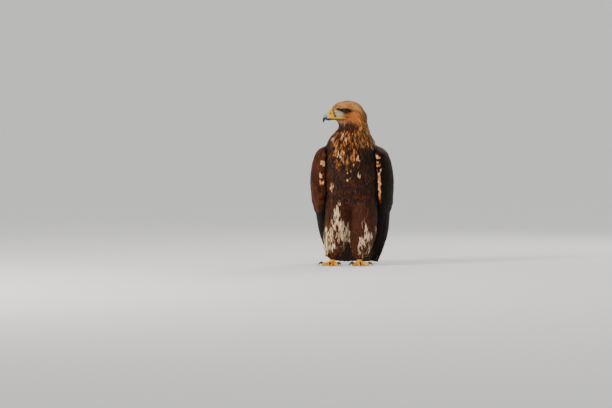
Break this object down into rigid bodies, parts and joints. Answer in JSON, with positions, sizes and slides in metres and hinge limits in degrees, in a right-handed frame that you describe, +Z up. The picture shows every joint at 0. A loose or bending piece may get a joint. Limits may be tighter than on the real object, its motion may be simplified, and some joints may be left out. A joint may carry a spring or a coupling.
{
  "type": "golden eagle",
  "caption": "Life-size standing golden eagle with folded wings hung beside the tail, head turned to its right, hooked bill and feathered legs.",
  "frame": {"origin": "on the floor, under the middle of the whole bird's box", "axes": "+Z up; the breast faces -Y and the tail lies towards +Y; the bird's left side is +X, and its head is turned to its right, towards -X"},
  "size_m": [0.354, 0.4128, 0.694],
  "materials": {
    "plumage_gold": "streaked golden-tan feathers, dull",
    "plumage_brown": "dark brown contour feathers with rufous edges, dull",
    "flight_feather": "blackish brown flight feathers, faint sheen",
    "leg_feather": "brown leg feathers mottled with cream, dull",
    "yellow_skin": "scaly yellow skin, satin",
    "horn": "blue-grey to black horn, glossy",
    "eye": "dark brown, wet gloss"
  },
  "bodies": {
    "root": {"head": "plumage_gold", "neck": "plumage_gold", "torso": "plumage_brown", "wing_l": "plumage_brown", "wing_r": "plumage_brown", "wing_l_secondaries": "flight_feather", "wing_l_primaries": "flight_feather", "wing_r_secondaries": "flight_feather", "wing_r_primaries": "flight_feather", "tail": "flight_feather", "thigh_l": "leg_feather", "thigh_r": "leg_feather", "shank_l": "leg_feather", "shank_r": "leg_feather", "foot_l": "yellow_skin", "foot_r": "yellow_skin", "cere": "yellow_skin", "bill_upper": "horn", "bill_lower": "horn", "claw_l_1": "horn", "claw_l_2": "horn", "claw_l_3": "horn", "claw_l_4": "horn", "claw_r_1": "horn", "claw_r_2": "horn", "claw_r_3": "horn", "claw_r_4": "horn", "eye_l": "eye", "eye_r": "eye"}
  },
  "joints": []
}
